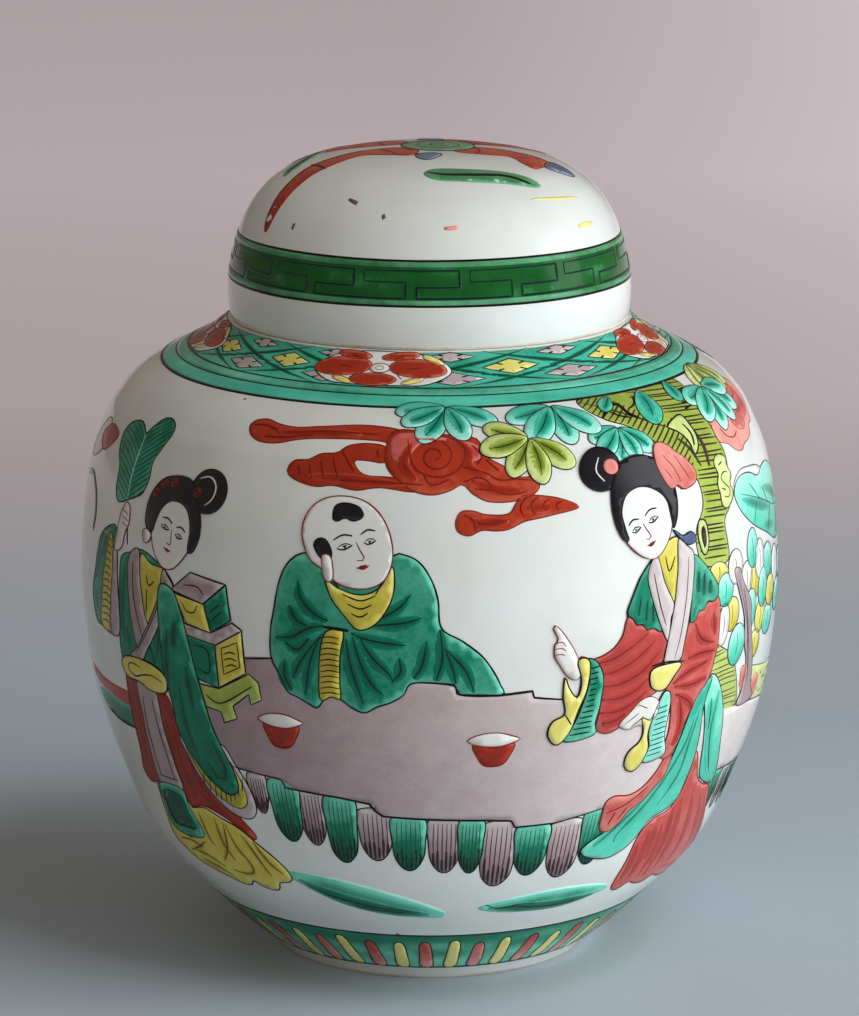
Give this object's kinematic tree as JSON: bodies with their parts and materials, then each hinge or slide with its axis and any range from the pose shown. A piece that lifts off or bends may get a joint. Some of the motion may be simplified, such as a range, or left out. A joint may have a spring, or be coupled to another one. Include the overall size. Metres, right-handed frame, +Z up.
{
  "type": "ginger jar",
  "caption": "Lidded porcelain ginger jar with a globular body, short neck and domed cap that lifts off to open it.",
  "frame": {"origin": "centre of the foot ring's standing plane", "axes": "+Z up along the jar's axis of revolution; -Y is the painted front, with the seated figure"},
  "size_m": [0.127, 0.127, 0.1465],
  "materials": {
    "porcelain": "glossy clear glaze over white porcelain, faintly blue-grey"
  },
  "bodies": {
    "jar": {"jar_body": "porcelain"},
    "cover": {"lid": "porcelain"}
  },
  "joints": [
    {"name": "lid_lift", "type": "slide", "parent": "jar", "child": "cover", "axis": [0, 0, 1], "range_m": [0, 0.05]}
  ]
}
